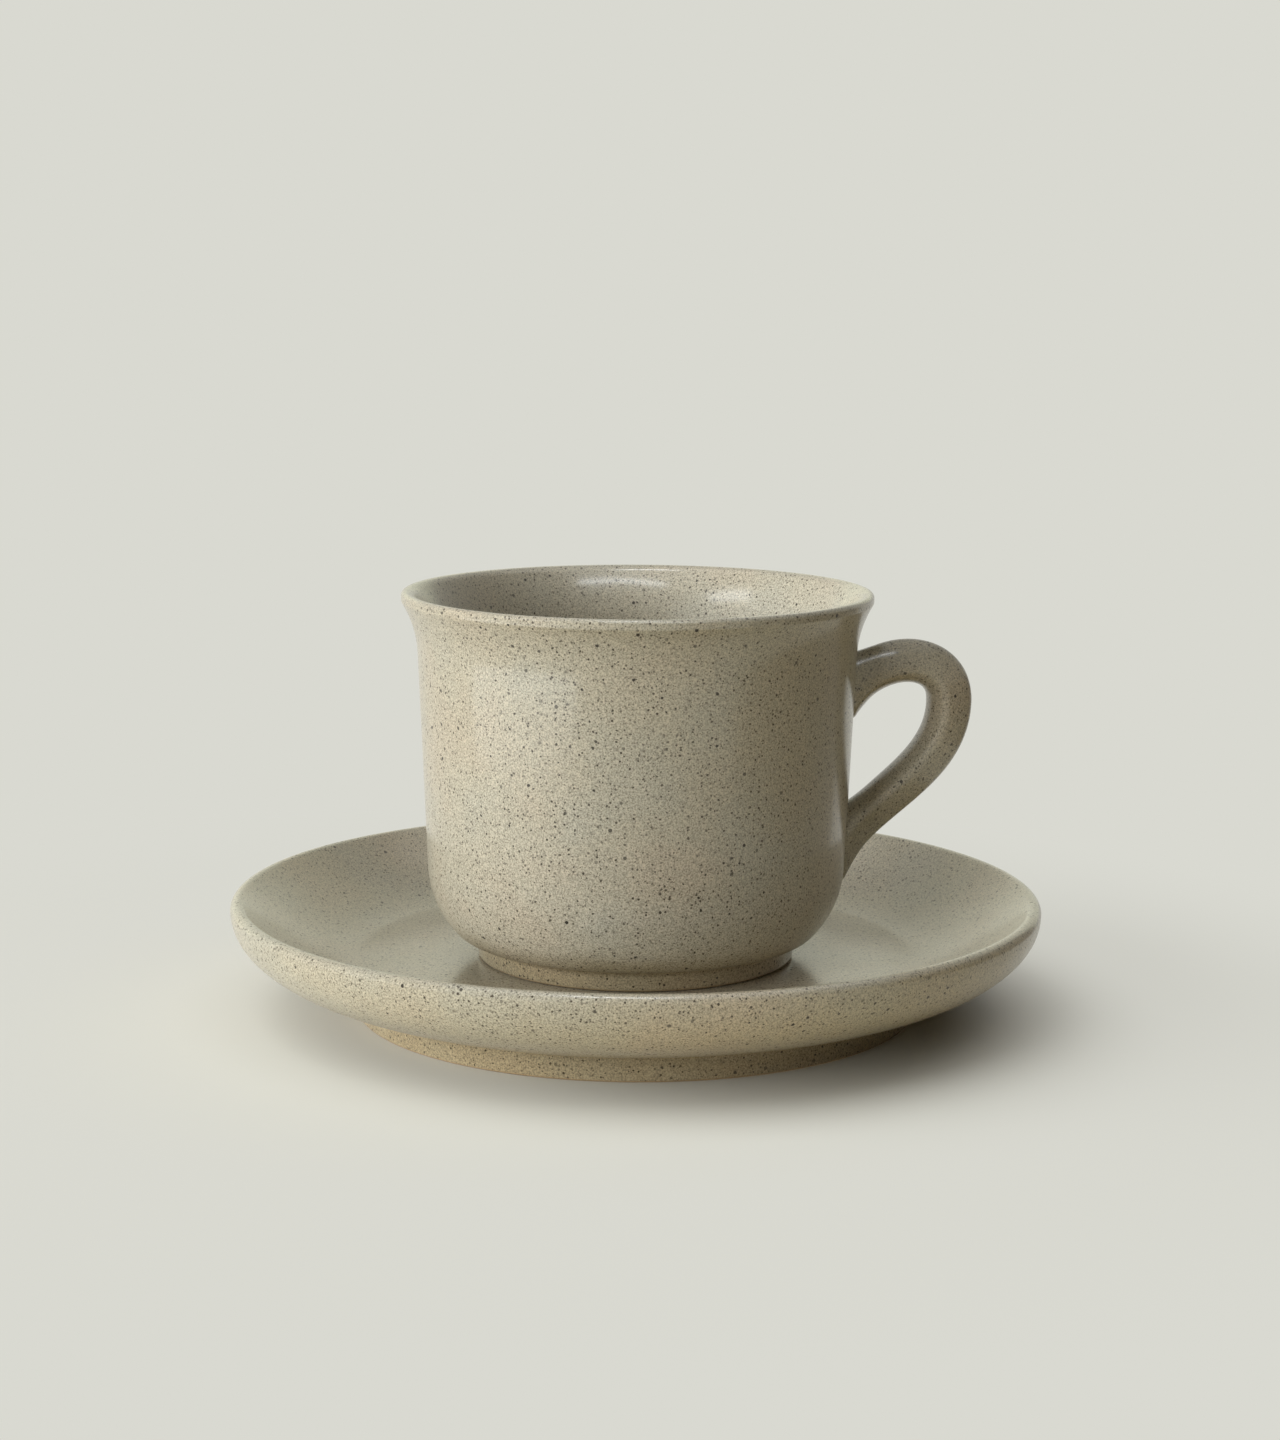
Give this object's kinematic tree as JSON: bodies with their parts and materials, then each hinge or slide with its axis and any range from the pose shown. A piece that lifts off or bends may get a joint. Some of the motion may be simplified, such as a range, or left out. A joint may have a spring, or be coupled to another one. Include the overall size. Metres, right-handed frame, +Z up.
{
  "type": "espresso cup with saucer",
  "caption": "Small straight-sided stoneware cup with a flared lip and a looped strap handle, standing on a round dished saucer; speckled warm grey glaze.",
  "frame": {"origin": "on the saucer's axis, at the level that its foot ring stands on", "axes": "+Z up along the axis of the cup and the saucer, +X towards the cup's handle"},
  "size_m": [0.115, 0.115, 0.0597],
  "materials": {
    "speckled_glaze": "warm grey stoneware glaze, satin gloss, with fine dark speckles"
  },
  "bodies": {
    "saucer": {"saucer": "speckled_glaze"},
    "cup": {"cup_body": "speckled_glaze", "cup_handle": "speckled_glaze"}
  },
  "joints": [
    {"name": "cup_lift", "type": "slide", "parent": "saucer", "child": "cup", "axis": [0, 0, 1], "range_m": [0, 0.12]}
  ]
}
